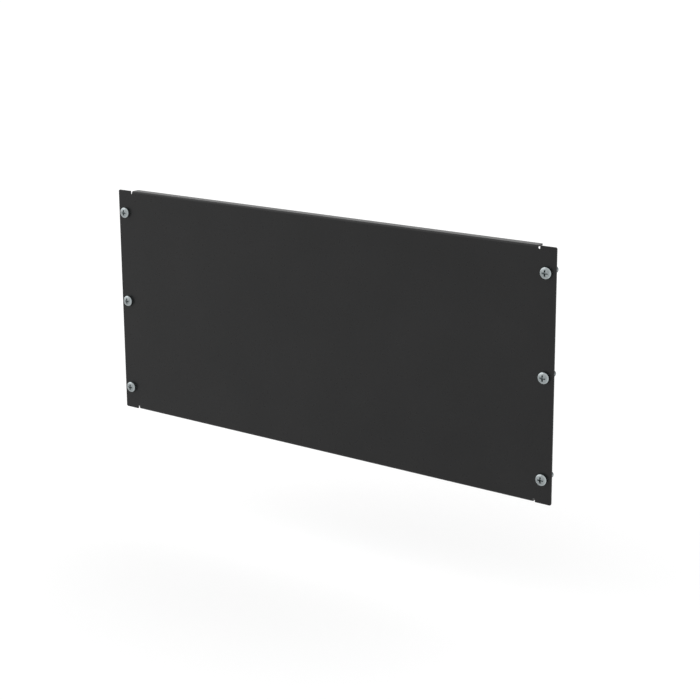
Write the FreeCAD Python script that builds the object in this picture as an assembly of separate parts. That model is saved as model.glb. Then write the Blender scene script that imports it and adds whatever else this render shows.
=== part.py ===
import FreeCAD, Part
import math
import os

# Folded steel blanking panel for a nineteen inch rack, with its six fixing screws.
# The origin is the centre of the flat rear face, the plane that the panel is mounted by.
# +X is right seen from the front, +Y goes back and +Z is up. Sizes are in millimetres.

# Rack grid
unit_height = 44.45
units_covered = 5
height_play = 0.75
column_spacing = 465.1

# Sheet
sheet_thickness = 1.5
edge_to_column = 8.75
ear_corner_radius = 1.5

# Flanges folded back along the top and bottom edges
panel_depth = 9.0
bend_inner_radius = 0.3
flange_end_to_column = 8.65
flange_corner_radius = 1.0

# Relief slots that free each end of a bend from the ear beside it
relief_width = 2.1
relief_past_bend = 1.3

# Screws
thread_diameter = 6.0
neck_diameter = 5.35
neck_length = 1.5
screw_length = 16.0
tip_chamfer = 0.8
head_diameter = 10.5
head_height = 3.9
head_side_height = 2.0
head_bevel_width = 1.05
crown_rise = 0.6

# Cross recess in each screw head
recess_span = 6.0
recess_arm_width = 1.5
recess_arm_foot_width = 1.0
recess_core_diameter = 2.4
recess_depth = 3.0
recess_wall_angle = 26.5

# Fits between the screws and the sheet
screw_side_clearance = 0.4
seat_beyond_slot = 0.75

# Sizes worked out from the ones above
panel_width = column_spacing + 2 * edge_to_column
panel_height = unit_height * units_covered - height_play
flange_length = column_spacing - 2 * flange_end_to_column
bend_outer_radius = bend_inner_radius + sheet_thickness
top = panel_height / 2
bend_line = top - bend_outer_radius
front = -sheet_thickness
flange_tip = panel_depth - sheet_thickness
slot_height = thread_diameter + 2 * screw_side_clearance
slot_length = head_diameter - 2 * seat_beyond_slot

TURN = 360
BOTH_SIDES = (-1, 1)
ALONG_X = FreeCAD.Vector(1, 0, 0)
ALONG_Y = FreeCAD.Vector(0, 1, 0)
ALONG_Z = FreeCAD.Vector(0, 0, 1)
ORIGIN = FreeCAD.Vector(0, 0, 0)
SIDE_NAMES = {-1: "left", 1: "right"}


def point(x, y, z):
    return FreeCAD.Vector(x, y, z)


def line(start, end):
    return Part.LineSegment(start, end).toShape()


def arc(start, between, end):
    return Part.Arc(start, between, end).toShape()


def block(low, high):
    return Part.makeBox(high.x - low.x, high.y - low.y, high.z - low.z, low)


def edges_along(shape, direction):
    """The straight edges of a shape that run along a direction."""
    found = []
    for edge in shape.Edges:
        run = edge.Vertexes[-1].Point - edge.Vertexes[0].Point
        if run.Length > 0 and run.normalize().cross(direction).Length < Part.Precision.angular():
            found.append(edge)
    return found


def row_heights():
    """Screw rows sit at the middle of the lowest, the middle and the highest rack unit."""
    rows = {"bottom": 1, "middle": (units_covered + 1) / 2, "top": units_covered}
    grid_foot = -unit_height * units_covered / 2
    return {name: grid_foot + (unit - 1 / 2) * unit_height for name, unit in rows.items()}


def flat_blank():
    """The flat sheet with rounded ear corners, before anything is cut from it."""
    corner = point(-panel_width / 2, front, -top)
    sheet = block(corner, point(panel_width / 2, 0, top))
    return sheet.makeFillet(ear_corner_radius, edges_along(sheet, ALONG_Y))


def fold_strip():
    """What the flat sheet loses between the bends' start and its top edge."""
    low = point(-flange_length / 2, front, bend_line)
    return block(low, point(flange_length / 2, 0, top))


def relief_slot(side):
    """A slot beside one end of the top bend, with a round end past the bend."""
    radius = relief_width / 2
    middle = side * (flange_length / 2 + radius)
    centre_height = bend_line - relief_past_bend + radius
    low = point(middle - radius, front, centre_height)
    straight = block(low, point(middle + radius, 0, top))
    round_end = Part.makeCylinder(radius, sheet_thickness, point(middle, front, centre_height), ALONG_Y)
    return straight.fuse(round_end)


def folded_flange():
    """The bend and the flat of the top flange, drawn in section and drawn out along X."""
    x = -flange_length / 2
    centre = point(x, front + bend_outer_radius, bend_line)
    outer_top = centre + ALONG_Z * bend_outer_radius
    inner_top = centre + ALONG_Z * bend_inner_radius
    outer_side = centre - ALONG_Y * bend_outer_radius
    inner_side = centre - ALONG_Y * bend_inner_radius
    halfway = (ALONG_Z - ALONG_Y).normalize()
    outer_tip = point(x, flange_tip, outer_top.z)
    inner_tip = point(x, flange_tip, inner_top.z)
    section = Part.Wire([
        arc(outer_top, centre + halfway * bend_outer_radius, outer_side),
        line(outer_side, inner_side),
        arc(inner_side, centre + halfway * bend_inner_radius, inner_top),
        line(inner_top, inner_tip),
        line(inner_tip, outer_tip),
        line(outer_tip, outer_top),
    ])
    flange = Part.Face(section).extrude(ALONG_X * flange_length)
    tip_corners = [e for e in edges_along(flange, ALONG_Z) if e.CenterOfMass.y > outer_top.y]
    return flange.makeFillet(flange_corner_radius, tip_corners)


def fixing_slot(x, z):
    """A short level slot for one screw, wholly under its head."""
    radius = slot_height / 2
    half_straight = slot_length / 2 - radius
    low = point(x - half_straight, front, z - radius)
    slot = block(low, point(x + half_straight, 0, z + radius))
    for side in BOTH_SIDES:
        end = point(x + side * half_straight, front, z)
        slot = slot.fuse(Part.makeCylinder(radius, sheet_thickness, end, ALONG_Y))
    return slot


def blanking_panel():
    """One sheet: a flat face with ears, two folded flanges, four relief slots and the fixing slots."""
    top_cuts = [fold_strip()] + [relief_slot(side) for side in BOTH_SIDES]
    bottom_cuts = [cut.mirror(ORIGIN, ALONG_Z) for cut in top_cuts]
    fixing_cuts = [fixing_slot(side * column_spacing / 2, z)
                   for side in BOTH_SIDES for z in row_heights().values()]
    sheet = flat_blank().cut(top_cuts + bottom_cuts + fixing_cuts)
    flange = folded_flange()
    folded = sheet.fuse([flange, flange.mirror(ORIGIN, ALONG_Z)])
    return folded.removeSplitter()


def screw_outline():
    """Half of the screw in section: crown, bevel and side of the head, its seat, neck, thread and tip."""
    head_radius = head_diameter / 2
    neck_radius = neck_diameter / 2
    thread_radius = thread_diameter / 2
    return [
        point(0, -head_height, 0),
        point(head_radius - head_bevel_width, crown_rise - head_height, 0),
        point(head_radius, -head_side_height, 0),
        point(head_radius, 0, 0),
        point(neck_radius, 0, 0),
        point(neck_radius, neck_length, 0),
        point(thread_radius, neck_length, 0),
        point(thread_radius, screw_length - tip_chamfer, 0),
        point(thread_radius - tip_chamfer, screw_length, 0),
        point(0, screw_length, 0),
        point(0, -head_height, 0),
    ]


def recess_arm(across):
    """One drafted bar of the cross recess, narrower at its foot, across the screw's axis."""
    reach = recess_span
    mouth = recess_arm_width / 2
    foot = recess_arm_foot_width / 2
    bar = Part.makeWedge(-reach, 0, -mouth, -foot, -reach, reach, recess_depth, mouth, foot, reach)
    bar.translate(point(0, -head_height, 0))
    return bar.rotated(ORIGIN, ALONG_Y, across)


def cross_recess():
    """The cut for a cross recess: two crossed bars inside a taper, with a round core between them."""
    mouth_radius = recess_span / 2
    taper = recess_depth * math.tan(math.radians(recess_wall_angle))
    foot_radius = max(mouth_radius - taper, recess_arm_width / 2)
    mouth = point(0, -head_height, 0)
    envelope = Part.makeCone(mouth_radius, foot_radius, recess_depth, mouth, ALONG_Y)
    arms = recess_arm(0).fuse(recess_arm(TURN / 4)).common(envelope)
    core = Part.makeCone(recess_core_diameter / 2, recess_arm_foot_width / 2, recess_depth, mouth, ALONG_Y)
    return arms.fuse(core)


def screw(x, z):
    """One pan head screw with its head on the front face of the sheet."""
    body = Part.Face(Part.makePolygon(screw_outline())).revolve(ORIGIN, ALONG_Y, TURN)
    finished = body.cut(cross_recess()).removeSplitter()
    finished.translate(point(x, front, z))
    return finished


def save(shape, node):
    solid = shape.Solids[0]
    print(node, "solids", len(shape.Solids), "valid", solid.isValid(), "volume", round(solid.Volume, 1))
    solid.exportStep(os.path.join("parts", node + ".step"))


os.makedirs("parts", exist_ok=True)
save(blanking_panel(), "blanking_panel")
for side in BOTH_SIDES:
    for row, height in row_heights().items():
        save(screw(side * column_spacing / 2, height), "screw_" + SIDE_NAMES[side] + "_" + row)
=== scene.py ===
import math

import bmesh
import bpy
from mathutils import Matrix, Vector


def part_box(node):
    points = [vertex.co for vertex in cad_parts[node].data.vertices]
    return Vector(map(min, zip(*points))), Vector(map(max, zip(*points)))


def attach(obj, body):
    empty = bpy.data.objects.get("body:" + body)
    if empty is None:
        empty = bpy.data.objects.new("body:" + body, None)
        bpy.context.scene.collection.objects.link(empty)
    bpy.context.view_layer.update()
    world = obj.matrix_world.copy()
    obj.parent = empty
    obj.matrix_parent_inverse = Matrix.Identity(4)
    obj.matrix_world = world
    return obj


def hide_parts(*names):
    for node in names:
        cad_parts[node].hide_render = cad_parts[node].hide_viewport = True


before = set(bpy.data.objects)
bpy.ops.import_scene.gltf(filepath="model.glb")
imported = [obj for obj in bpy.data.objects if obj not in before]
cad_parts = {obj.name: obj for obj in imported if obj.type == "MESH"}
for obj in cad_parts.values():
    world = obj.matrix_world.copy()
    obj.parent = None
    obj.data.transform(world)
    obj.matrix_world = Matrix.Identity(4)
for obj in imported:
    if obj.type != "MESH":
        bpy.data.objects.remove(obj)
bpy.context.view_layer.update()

# The looks of a folded steel blanking panel and its six screws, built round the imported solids.
# Lengths are in metres, and MM turns millimetres into them. +X is right, +Y goes back and +Z is up.
MM = 0.001

# Panel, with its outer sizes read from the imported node
PANEL = "blanking_panel"
panel_low, panel_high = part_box(PANEL)
FRONT = panel_low.y
SHEET = -FRONT
FLANGE_TIP = panel_high.y
EDGE_X = panel_high.x
EDGE_Z = panel_high.z
EAR_CORNER = 1.5 * MM
BEND_INNER = 0.3 * MM
BEND_OUTER = BEND_INNER + SHEET
BEND_LINE = EDGE_Z - BEND_OUTER
BEND_STEPS = 12
FLANGE_END_TO_COLUMN = 8.65 * MM
FLANGE_CORNER = 1.0 * MM
RELIEF_RADIUS = 1.05 * MM
RELIEF_PAST_BEND = 1.3 * MM
SOFT_EDGE = 0.22 * MM
SOFT_EDGE_STEPS = 3
FLAT_FACE_WEIGHT = 100

# Screws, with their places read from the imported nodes
SCREWS = sorted(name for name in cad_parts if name.startswith("screw_"))
SLOT_RADIUS = 3.4 * MM
SLOT_HALF_STRAIGHT = 1.1 * MM
HEAD_RADIUS = 5.25 * MM
HEAD_SIDE = 1.82 * MM
HEAD_CORNER = 1.5 * MM
HEAD_CROWN = 14.0 * MM
HEAD_FOOT = 0.15 * MM
NECK_RADIUS = 2.675 * MM
NECK_FILLET = 0.3 * MM
NECK_LENGTH = 1.5 * MM
SCREW_LENGTH = 16.0 * MM
TIP_CHAMFER = 0.8 * MM
THREAD_CREST = 2.99 * MM
THREAD_DEPTH = 0.613 * MM
THREAD_PITCH = 1.0 * MM
# Share of the pitch and share of the depth at each corner of the thread's section
THREAD_SECTION = ((0, 0), (1 / 8, 0), (7 / 16, 0.96), (9 / 16, 1), (11 / 16, 0.96))
TURN_STEPS = 64

# Cross recess
RECESS_RADIUS = 3.0 * MM
RECESS_FOOT_RADIUS = 1.5 * MM
RECESS_DEPTH = 3.0 * MM
RECESS_POINT = 0.35 * MM
ARM_HALF_WIDTH = 0.75 * MM
ARM_FOOT_HALF_WIDTH = 0.5 * MM
CORE_RADIUS = 1.2 * MM
CORE_FOOT_RADIUS = 0.75 * MM
RECESS_ABOVE = 0.5 * MM
ARM_END_STEPS = 7

# Fineness of the meshes
ARC_STEP_DEGREES = 9
SHARP_ANGLE = math.radians(35)
MERGE_DISTANCE = 0.0005 * MM
CUT_MERGE_DISTANCE = 0.003 * MM

# Where most values of a noise lie
NOISE_SPAN = (0.3, 0.7)

# Black powder coat, its colours and roughness each as the lowest and the highest
COAT_COLOURS = ((0.0097, 0.0098, 0.0100), (0.0120, 0.0120, 0.0122))
COAT_ROUGHNESS = (0.27, 0.33)
COAT_SPECULAR = 0.22
COAT_CLOUD = 60 * MM
COAT_GRAIN = 4 * MM
COAT_PEEL = 1.6 * MM
COAT_PEEL_DEPTH = 0.03 * MM
COAT_PEEL_STRENGTH = 0.4

# Zinc, its colours as dark and light patches and its roughness as the lowest and the highest
# Lit and shaded copies of one zinc: the edge colours are a painted highlight, the crown colours painted
# shade
LIT_EDGE_COLOURS = ((0.336, 0.37, 0.376), (0.4, 0.44, 0.447))
SHADED_CROWN_COLOURS = ((0.232, 0.255, 0.259), (0.295, 0.325, 0.33))
# The recess colours are a darker copy of the edge zinc, as painted shade in the recess
PAINTED_SHADE_RECESS_COLOURS = ((0.295, 0.325, 0.33), (0.395, 0.435, 0.442))
POLISHED_ROUGHNESS = (0.14, 0.24)
DULL_ROUGHNESS = (0.34, 0.44)
ZINC_PATCH = 2.2 * MM
ZINC_GRAIN = 0.5 * MM
ZINC_GRAIN_DEPTH = 0.02 * MM
ZINC_GRAIN_STRENGTH = 0.2
# The Y of the surface's direction where a head's crown, rougher and painted darker as shade, starts, and
# where it is full
SHADED_ROUGH_CROWN_FACING = (-0.87, -0.98)

# Camera, at the photograph's viewing angle and distance
CAMERA_PLACE = Vector((833.4, -1120.4, 383.9)) * MM
CAMERA_TURN = math.radians(35.470)
CAMERA_PITCH = math.radians(-12.911)
CAMERA_ROLL = math.radians(-0.337)
FOCAL_PIXELS = 1591.0
IMAGE_PIXELS = 700
AXIS_ROW_PIXELS = 266.5
SENSOR_MM = 36

# Light and floor
WHITE = (1, 1, 1, 1)
FLOOR_DROP = 110 * MM
FLOOR_HALF = 30.0
FLOOR_COLOUR = 0.85
FLOOR_LIFT = 0.22
AMBIENT = 0.78
KEY_STRENGTH = 1.15
KEY_FROM = Vector((-0.85, -0.40, 0.40))
KEY_SPREAD = math.radians(75)
FILL_STRENGTH = 0.5
FILL_FROM = Vector((0.55, 0.60, 0.58))
FILL_SPREAD = math.radians(120)


def arc(centre, radius, start, end, steps=None):
    """Points along an arc in a plane, from one angle to another, both in degrees."""
    if steps is None:
        steps = max(2, round(abs(end - start) / ARC_STEP_DEGREES))
    turns = [math.radians(start + (end - start) * i / steps) for i in range(steps + 1)]
    return [(centre[0] + radius * math.cos(t), centre[1] + radius * math.sin(t)) for t in turns]


def add_face(bm, points, outward):
    """One flat face through the points, turned so that it looks outward."""
    face = bm.faces.new([bm.verts.new(p) for p in points])
    face.normal_update()
    if face.normal.dot(outward) < 0:
        face.normal_flip()


def new_object(name, mesh, materials):
    for material in materials:
        mesh.materials.append(material)
    made = bpy.data.objects.new(name, mesh)
    bpy.context.scene.collection.objects.link(made)
    return made


def to_mesh(bm, name):
    """Turns a bmesh into a smooth shaded mesh."""
    mesh = bpy.data.meshes.new(name)
    for face in bm.faces:
        face.smooth = True
    bm.to_mesh(mesh)
    bm.free()
    return mesh


def evaluated_mesh(made, name):
    """The mesh of an object with its modifiers applied."""
    depsgraph = bpy.context.evaluated_depsgraph_get()
    mesh = bpy.data.meshes.new_from_object(made.evaluated_get(depsgraph))
    mesh.name = name
    return mesh


# Panel

def screw_centres():
    """The place of each screw's axis in the plane of the sheet, by name."""
    places = {}
    for name in SCREWS:
        low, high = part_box(name)
        places[name] = Vector(((low.x + high.x) / 2, FRONT, (low.z + high.z) / 2))
    return places


def half_slots(column, side, rows):
    """The halves of one column's slots that lie to one side of it, from the top to the bottom."""
    points = []
    for z in sorted(rows, reverse=True):
        end = (column + side * SLOT_HALF_STRAIGHT, z)
        points.append((column, z + SLOT_RADIUS))
        points += arc(end, SLOT_RADIUS, 90, 90 - side * 180)
        points.append((column, z - SLOT_RADIUS))
    return points


def upper_relief(flange_end):
    """The wall of the right upper relief, from the bend line to the top edge of the ear."""
    centre = (flange_end + RELIEF_RADIUS, BEND_LINE - RELIEF_PAST_BEND + RELIEF_RADIUS)
    wall = arc(centre, RELIEF_RADIUS, 180, 360)
    return [(flange_end, BEND_LINE)] + wall + [(flange_end + 2 * RELIEF_RADIUS, EDGE_Z)]


def plate_outline(column, rows, flange_end):
    """The flat front between the two columns of slots, without holes, as one loop."""
    relief = upper_relief(flange_end)
    right = relief + [(column, EDGE_Z)] + half_slots(column, -1, rows)
    right += [(column, -EDGE_Z)] + [(x, -z) for x, z in reversed(relief)]
    return right + [(-x, z) for x, z in reversed(right)]


def ear_outline(column, rows):
    """The right ear outside its column of slots, as one loop."""
    corner = (EDGE_X - EAR_CORNER, EDGE_Z - EAR_CORNER)
    rounded = arc(corner, EAR_CORNER, 90, 0)
    outer = rounded + [(x, -z) for x, z in reversed(rounded)]
    return [(column, EDGE_Z)] + outer + [(column, -EDGE_Z)] + half_slots(column, 1, rows)[::-1]


def bend_row(step, flange_end, up):
    """Two points across the bend, at one step round it."""
    angle = math.radians(90 * step / BEND_STEPS)
    y = FRONT + BEND_OUTER * (1 - math.cos(angle))
    z = up * (BEND_LINE + BEND_OUTER * math.sin(angle))
    return [(-flange_end, y, z), (flange_end, y, z)]


def add_flange(bm, flange_end, up):
    """The bend and the flat of one flange."""
    for step in range(BEND_STEPS):
        near = bend_row(step, flange_end, up)
        far = bend_row(step + 1, flange_end, up)
        angle = math.radians(90 * (step + 0.5) / BEND_STEPS)
        add_face(bm, near + far[::-1], Vector((0, -math.cos(angle), up * math.sin(angle))))
    corner = (flange_end - FLANGE_CORNER, FLANGE_TIP - FLANGE_CORNER)
    right = [(flange_end, FRONT + BEND_OUTER)] + arc(corner, FLANGE_CORNER, 0, 90)
    outline = right + [(-x, y) for x, y in reversed(right)]
    add_face(bm, [(x, y, up * EDGE_Z) for x, y in outline], Vector((0, 0, up)))


def panel_mesh(places):
    """The outer skin of the folded sheet: its thickness and soft edges come from modifiers."""
    column = max(place.x for place in places.values())
    rows = {place.z for place in places.values() if place.x > 0}
    flange_end = column - FLANGE_END_TO_COLUMN
    ear = ear_outline(column, rows)
    bm = bmesh.new()
    for outline in (plate_outline(column, rows, flange_end), ear, [(-x, z) for x, z in ear]):
        add_face(bm, [(x, FRONT, z) for x, z in outline], Vector((0, -1, 0)))
    for up in (-1, 1):
        add_flange(bm, flange_end, up)
    bmesh.ops.remove_doubles(bm, verts=bm.verts, dist=MERGE_DISTANCE)
    return to_mesh(bm, PANEL)


def make_panel(places, material):
    panel = new_object("panel_sheet", panel_mesh(places), [material])
    thickness = panel.modifiers.new("sheet", "SOLIDIFY")
    thickness.thickness = SHEET
    thickness.offset = -1
    thickness.use_even_offset = True
    edges = panel.modifiers.new("soft_edges", "BEVEL")
    edges.width = SOFT_EDGE
    edges.segments = SOFT_EDGE_STEPS
    edges.limit_method = "ANGLE"
    edges.angle_limit = SHARP_ANGLE
    edges.use_clamp_overlap = False
    normals = panel.modifiers.new("normals", "WEIGHTED_NORMAL")
    normals.weight = FLAT_FACE_WEIGHT
    normals.keep_sharp = True
    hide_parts(PANEL)
    return panel


# Screws

def head_section():
    """Radius and depth down the head, from the edge of the crown's middle to the neck."""
    corner_centre = HEAD_RADIUS - HEAD_CORNER
    crown_drop = math.sqrt((HEAD_CROWN - HEAD_CORNER) ** 2 - corner_centre ** 2)
    crown_centre = HEAD_SIDE - crown_drop
    meeting = math.degrees(math.acos(corner_centre / (HEAD_CROWN - HEAD_CORNER)))
    crown = arc((0, crown_centre), HEAD_CROWN, 90, meeting)
    corner = arc((corner_centre, HEAD_SIDE), HEAD_CORNER, meeting, 0)
    side = [(HEAD_RADIUS, HEAD_FOOT), (HEAD_RADIUS - HEAD_FOOT, 0)]
    fillet = arc((NECK_RADIUS + NECK_FILLET, -NECK_FILLET), NECK_FILLET, 90, 180)
    return crown[:-1] + corner + side + fillet


def thread_point(turn_step, row):
    """A point of the thread. Each row runs along the helix, and stops at the neck and at the tip."""
    whole, part = divmod(row, len(THREAD_SECTION))
    along, depth = THREAD_SECTION[part]
    turn = turn_step / TURN_STEPS
    y = NECK_LENGTH + THREAD_PITCH * (whole + along - 1 + turn)
    y = min(max(y, NECK_LENGTH), SCREW_LENGTH)
    full = THREAD_CREST - THREAD_DEPTH * depth
    grown = min((y - NECK_LENGTH) / THREAD_PITCH, 1)
    chamfered = THREAD_CREST - TIP_CHAMFER + SCREW_LENGTH - y
    radius = min(NECK_RADIUS + (full - NECK_RADIUS) * grown, chamfered)
    angle = math.tau * turn
    return Vector((radius * math.cos(angle), y, radius * math.sin(angle)))


def skin(bm, rows):
    """Joins rows of points, each a closed ring, by faces."""
    for near, far in zip(rows, rows[1:]):
        for i in range(len(near)):
            j = (i + 1) % len(near)
            bm.faces.new((near[i], far[i], far[j], near[j]))


def add_head(bm):
    """The head, its seat and the neck, turned round the screw's axis."""
    turns = [math.tau * i / TURN_STEPS for i in range(TURN_STEPS)]
    rows = []
    for radius, height in head_section() + [(NECK_RADIUS, -NECK_LENGTH)]:
        rows.append([bm.verts.new((radius * math.cos(t), -height, radius * math.sin(t))) for t in turns])
    skin(bm, rows)


def add_thread(bm):
    """The thread's helix, as a grid that moves on by one pitch in each turn."""
    section = len(THREAD_SECTION)
    turns = math.ceil((SCREW_LENGTH - NECK_LENGTH) / THREAD_PITCH) + 2
    columns = []
    for i in range(TURN_STEPS + 1):
        shift = section if i == TURN_STEPS else 0
        rows = range(shift, turns * section + shift)
        columns.append([bm.verts.new(thread_point(i, row - shift)) for row in rows])
    for near, far in zip(columns, columns[1:]):
        for k in range(len(near) - 1):
            bm.faces.new((near[k], near[k + 1], far[k + 1], far[k]))


def screw_body_mesh():
    """The screw before its recess is cut, closed at the tip."""
    bm = bmesh.new()
    add_head(bm)
    add_thread(bm)
    bmesh.ops.remove_doubles(bm, verts=bm.verts, dist=MERGE_DISTANCE)
    open_edges = [edge for edge in bm.edges if edge.is_boundary]
    bmesh.ops.holes_fill(bm, edges=open_edges, sides=0)
    bmesh.ops.recalc_face_normals(bm, faces=bm.faces)
    return to_mesh(bm, "screw_body")


def recess_ring(bm, depth, top):
    """One level of the cross recess: four arms with round ends and a core between them."""
    share = depth / RECESS_DEPTH
    reach = RECESS_RADIUS + (RECESS_FOOT_RADIUS - RECESS_RADIUS) * share
    half = ARM_HALF_WIDTH + (ARM_FOOT_HALF_WIDTH - ARM_HALF_WIDTH) * share
    core = CORE_RADIUS + (CORE_FOOT_RADIUS - CORE_RADIUS) * share
    arm_spread = math.degrees(math.asin(half / reach))
    core_spread = math.degrees(math.asin(half / core))
    points = []
    for arm in (0, 90, 180, 270):
        points += arc((0, 0), reach, arm - arm_spread, arm + arm_spread, ARM_END_STEPS)
        points += arc((0, 0), core, arm + core_spread, arm + 90 - core_spread, 1)
    return [bm.verts.new((x, top + depth, z)) for x, z in points]


def recess_cutter_mesh():
    """The solid that the cross recess is cut with: drafted arms that end in a shallow point."""
    top = min(-height for radius, height in head_section())
    bm = bmesh.new()
    rows = [recess_ring(bm, depth, top) for depth in (-RECESS_ABOVE, RECESS_DEPTH)]
    skin(bm, rows)
    bm.faces.new(rows[0])
    point = bm.verts.new((0, top + RECESS_DEPTH + RECESS_POINT, 0))
    foot = rows[1]
    for i in range(len(foot)):
        bm.faces.new((foot[i], foot[(i + 1) % len(foot)], point))
    bmesh.ops.recalc_face_normals(bm, faces=bm.faces)
    # The cut faces take the second material, the recess zinc with its painted shade
    for face in bm.faces:
        face.material_index = 1
    return to_mesh(bm, "recess_cutter")


def join_close_points(mesh):
    """Joins the points that a cut left almost on each other."""
    bm = bmesh.new()
    bm.from_mesh(mesh)
    bmesh.ops.remove_doubles(bm, verts=bm.verts, dist=CUT_MERGE_DISTANCE)
    bm.to_mesh(mesh)
    bm.free()


def screw_mesh(materials):
    """One whole screw about its own axis, with its seat at the origin."""
    body = new_object("screw_body", screw_body_mesh(), materials)
    cutter = new_object("recess_cutter", recess_cutter_mesh(), materials)
    cut = body.modifiers.new("recess", "BOOLEAN")
    cut.operation = "DIFFERENCE"
    cut.solver = "EXACT"
    cut.object = cutter
    bpy.context.view_layer.update()
    mesh = evaluated_mesh(body, "screw")
    for scratch in (body, cutter):
        bpy.data.objects.remove(scratch)
    join_close_points(mesh)
    mesh.set_sharp_from_angle(angle=SHARP_ANGLE)
    return mesh


def make_screws(places, materials):
    whole = screw_mesh(materials)
    for name, place in places.items():
        mesh = whole.copy()
        mesh.transform(Matrix.Translation(place))
        screw = bpy.data.objects.new(name.replace("screw", "pan_head_screw"), mesh)
        bpy.context.scene.collection.objects.link(screw)
        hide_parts(name)
        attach(screw, "root")


# Materials

def new_material(name):
    """An empty node material with its surface shader, ready to be wired."""
    material = bpy.data.materials.new(name)
    material.use_nodes = True
    return material, material.node_tree.nodes["Principled BSDF"]


def noise(tree, size, detail, seed=0):
    """A noise with patches of about the given size, the same each run."""
    place = tree.nodes.new("ShaderNodeTexCoord")
    shift = tree.nodes.new("ShaderNodeVectorMath")
    shift.inputs[1].default_value = (seed, seed, seed)
    texture = tree.nodes.new("ShaderNodeTexNoise")
    texture.inputs["Scale"].default_value = 1 / size
    texture.inputs["Detail"].default_value = detail
    tree.links.new(place.outputs["Object"], shift.inputs[0])
    tree.links.new(shift.outputs["Vector"], texture.inputs["Vector"])
    return texture.outputs["Fac"]


def colours_by(tree, factor, dark, light):
    """A colour between two, by where a noise is in its span."""
    ramp = tree.nodes.new("ShaderNodeValToRGB")
    low, high = ramp.color_ramp.elements
    low.position, high.position = NOISE_SPAN
    low.color = (*dark, 1)
    high.color = (*light, 1)
    tree.links.new(factor, ramp.inputs["Fac"])
    return ramp.outputs["Color"]


def value_by(tree, factor, low, high, span=NOISE_SPAN):
    """A value between two, by a factor that goes from one end of a span to the other."""
    ranged = tree.nodes.new("ShaderNodeMapRange")
    for name, value in (("From Min", span[0]), ("From Max", span[1]), ("To Min", low), ("To Max", high)):
        ranged.inputs[name].default_value = value
    tree.links.new(factor, ranged.inputs["Value"])
    return ranged.outputs["Result"]


def add_bump(tree, shader, height, depth, strength):
    bump = tree.nodes.new("ShaderNodeBump")
    bump.inputs["Distance"].default_value = depth
    bump.inputs["Strength"].default_value = strength
    tree.links.new(height, bump.inputs["Height"])
    tree.links.new(bump.outputs["Normal"], shader.inputs["Normal"])


def powder_coat():
    """Black semi-gloss powder coat with a fine orange peel."""
    material, shader = new_material("black_powder_coat")
    tree = material.node_tree
    cloud = noise(tree, COAT_CLOUD, detail=3)
    grain = noise(tree, COAT_GRAIN, detail=2, seed=3)
    peel = noise(tree, COAT_PEEL, detail=1, seed=7)
    tree.links.new(colours_by(tree, cloud, *COAT_COLOURS), shader.inputs["Base Color"])
    tree.links.new(value_by(tree, grain, *COAT_ROUGHNESS), shader.inputs["Roughness"])
    shader.inputs["Specular IOR Level"].default_value = COAT_SPECULAR
    add_bump(tree, shader, peel, COAT_PEEL_DEPTH, COAT_PEEL_STRENGTH)
    return material


def blend(tree, kind, factor, first, second):
    """A mix of two colours or of two values, by a factor."""
    mixed = tree.nodes.new("ShaderNodeMix")
    mixed.data_type = kind
    tree.links.new(factor, mixed.inputs["Factor"])
    ends = [socket for socket in mixed.inputs if socket.enabled and socket.name in "AB"]
    tree.links.new(first, ends[0])
    tree.links.new(second, ends[1])
    return next(socket for socket in mixed.outputs if socket.enabled)


def crown_shade_and_roughness_mask(tree):
    """One on the flat middle of a head, picked by the way its surface faces, and nothing on its round
    edge and on the rest of the screw. It makes the crown rougher and paints it darker, as shade.
    """
    place = tree.nodes.new("ShaderNodeTexCoord")
    split = tree.nodes.new("ShaderNodeSeparateXYZ")
    tree.links.new(place.outputs["Normal"], split.inputs["Vector"])
    return value_by(tree, split.outputs["Y"], 0, 1, span=SHADED_ROUGH_CROWN_FACING)


def zinc(name, painted_edge_colours, painted_crown_colours, edge_rough, crown_rough):
    """Zinc plate: a faintly green grey with soft patches, rougher where the head was struck. Where the
    edge and crown colours differ, the crown is painted darker as shade and the lighter edge is a painted
    highlight.
    """
    material, shader = new_material(name)
    tree = material.node_tree
    patches = noise(tree, ZINC_PATCH, detail=3, seed=1)
    grain = noise(tree, ZINC_GRAIN, detail=2, seed=5)
    crown = crown_shade_and_roughness_mask(tree)
    # Painted light: the edge colour stands for a highlight, the crown colour for shade
    edge = colours_by(tree, patches, *painted_edge_colours)
    middle = colours_by(tree, patches, *painted_crown_colours)
    tree.links.new(blend(tree, "RGBA", crown, edge, middle), shader.inputs["Base Color"])
    polish = value_by(tree, grain, *edge_rough)
    strike = value_by(tree, grain, *crown_rough)
    tree.links.new(blend(tree, "FLOAT", crown, polish, strike), shader.inputs["Roughness"])
    shader.inputs["Metallic"].default_value = 1
    add_bump(tree, shader, grain, ZINC_GRAIN_DEPTH, ZINC_GRAIN_STRENGTH)
    return material


# Floor, light and camera

def seen_directly(tree):
    """One for rays from the camera, from a mirror or through glass, and nothing for the rest."""
    path = tree.nodes.new("ShaderNodeLightPath")
    total = None
    for name in ("Is Camera Ray", "Is Glossy Ray", "Is Transmission Ray"):
        if total is None:
            total = path.outputs[name]
            continue
        join = tree.nodes.new("ShaderNodeMath")
        join.operation = "MAXIMUM"
        tree.links.new(total, join.inputs[0])
        tree.links.new(path.outputs[name], join.inputs[1])
        total = join.outputs["Value"]
    return total


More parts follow.
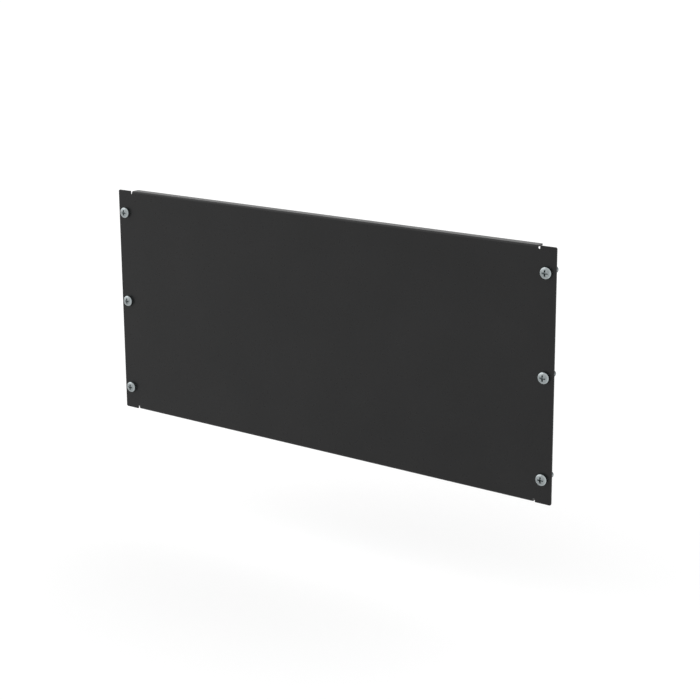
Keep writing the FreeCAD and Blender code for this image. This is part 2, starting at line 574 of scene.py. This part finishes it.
def make_world():
    """Even light all round, which looks plain white where it is seen."""
    world = bpy.data.worlds.new("studio")
    bpy.context.scene.world = world
    world.use_nodes = True
    tree = world.node_tree
    light = tree.nodes["Background"]
    light.inputs["Color"].default_value = WHITE
    light.inputs["Strength"].default_value = AMBIENT
    white = tree.nodes.new("ShaderNodeBackground")
    white.inputs["Color"].default_value = WHITE
    white.inputs["Strength"].default_value = 1
    mix = tree.nodes.new("ShaderNodeMixShader")
    tree.links.new(seen_directly(tree), mix.inputs["Fac"])
    tree.links.new(light.outputs["Background"], mix.inputs[1])
    tree.links.new(white.outputs["Background"], mix.inputs[2])
    tree.links.new(mix.outputs["Shader"], tree.nodes["World Output"].inputs["Surface"])


def floor_material():
    """A pale matt floor that keeps shadows and looks white to the camera where it has none."""
    material = bpy.data.materials.new("pale_floor")
    material.use_nodes = True
    tree = material.node_tree
    tree.nodes.remove(tree.nodes["Principled BSDF"])
    matt = tree.nodes.new("ShaderNodeBsdfDiffuse")
    matt.inputs["Color"].default_value = (FLOOR_COLOUR, FLOOR_COLOUR, FLOOR_COLOUR, 1)
    lift = tree.nodes.new("ShaderNodeEmission")
    scale = tree.nodes.new("ShaderNodeMath")
    scale.operation = "MULTIPLY"
    scale.inputs[1].default_value = FLOOR_LIFT
    tree.links.new(seen_directly(tree), scale.inputs[0])
    tree.links.new(scale.outputs["Value"], lift.inputs["Strength"])
    both = tree.nodes.new("ShaderNodeAddShader")
    tree.links.new(matt.outputs["BSDF"], both.inputs[0])
    tree.links.new(lift.outputs["Emission"], both.inputs[1])
    tree.links.new(both.outputs["Shader"], tree.nodes["Material Output"].inputs["Surface"])
    return material


def make_floor():
    bm = bmesh.new()
    bmesh.ops.create_grid(bm, x_segments=1, y_segments=1, size=FLOOR_HALF)
    floor = new_object("floor", to_mesh(bm, "floor"), [floor_material()])
    floor.location.z = panel_low.z - FLOOR_DROP


def make_lamp(name, strength, from_side, spread):
    lamp = bpy.data.lights.new(name, "SUN")
    lamp.energy = strength
    lamp.angle = spread
    made = bpy.data.objects.new(name, lamp)
    made.rotation_mode = "QUATERNION"
    made.rotation_quaternion = from_side.to_track_quat("Z", "Y")
    bpy.context.scene.collection.objects.link(made)


def make_camera():
    camera = bpy.data.cameras.new("camera")
    camera.sensor_width = SENSOR_MM
    camera.lens = FOCAL_PIXELS / IMAGE_PIXELS * SENSOR_MM
    camera.shift_y = AXIS_ROW_PIXELS / IMAGE_PIXELS - 1 / 2
    made = bpy.data.objects.new("camera", camera)
    upright = Matrix.Rotation(math.radians(90) + CAMERA_PITCH, 4, "X")
    turned = Matrix.Rotation(CAMERA_TURN, 4, "Z") @ upright @ Matrix.Rotation(CAMERA_ROLL, 4, "Z")
    made.matrix_world = Matrix.Translation(CAMERA_PLACE) @ turned
    bpy.context.scene.collection.objects.link(made)
    bpy.context.scene.camera = made


make_camera()
make_world()
make_lamp("key", KEY_STRENGTH, KEY_FROM, KEY_SPREAD)
make_lamp("fill", FILL_STRENGTH, FILL_FROM, FILL_SPREAD)
make_floor()

places = screw_centres()
panel = make_panel(places, powder_coat())
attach(panel, "root")
# This zinc paints shade on the head's crown and a highlight on its round edge
plate = zinc("zinc_plate_painted_light", LIT_EDGE_COLOURS, SHADED_CROWN_COLOURS, POLISHED_ROUGHNESS, DULL_ROUGHNESS)
# Zinc in the recess, painted a little darker than the edge as shade
recess = zinc("zinc_in_recess_painted_shade", PAINTED_SHADE_RECESS_COLOURS, PAINTED_SHADE_RECESS_COLOURS, DULL_ROUGHNESS, DULL_ROUGHNESS)
make_screws(places, [plate, recess])

bpy.context.scene.view_settings.view_transform = "Standard"
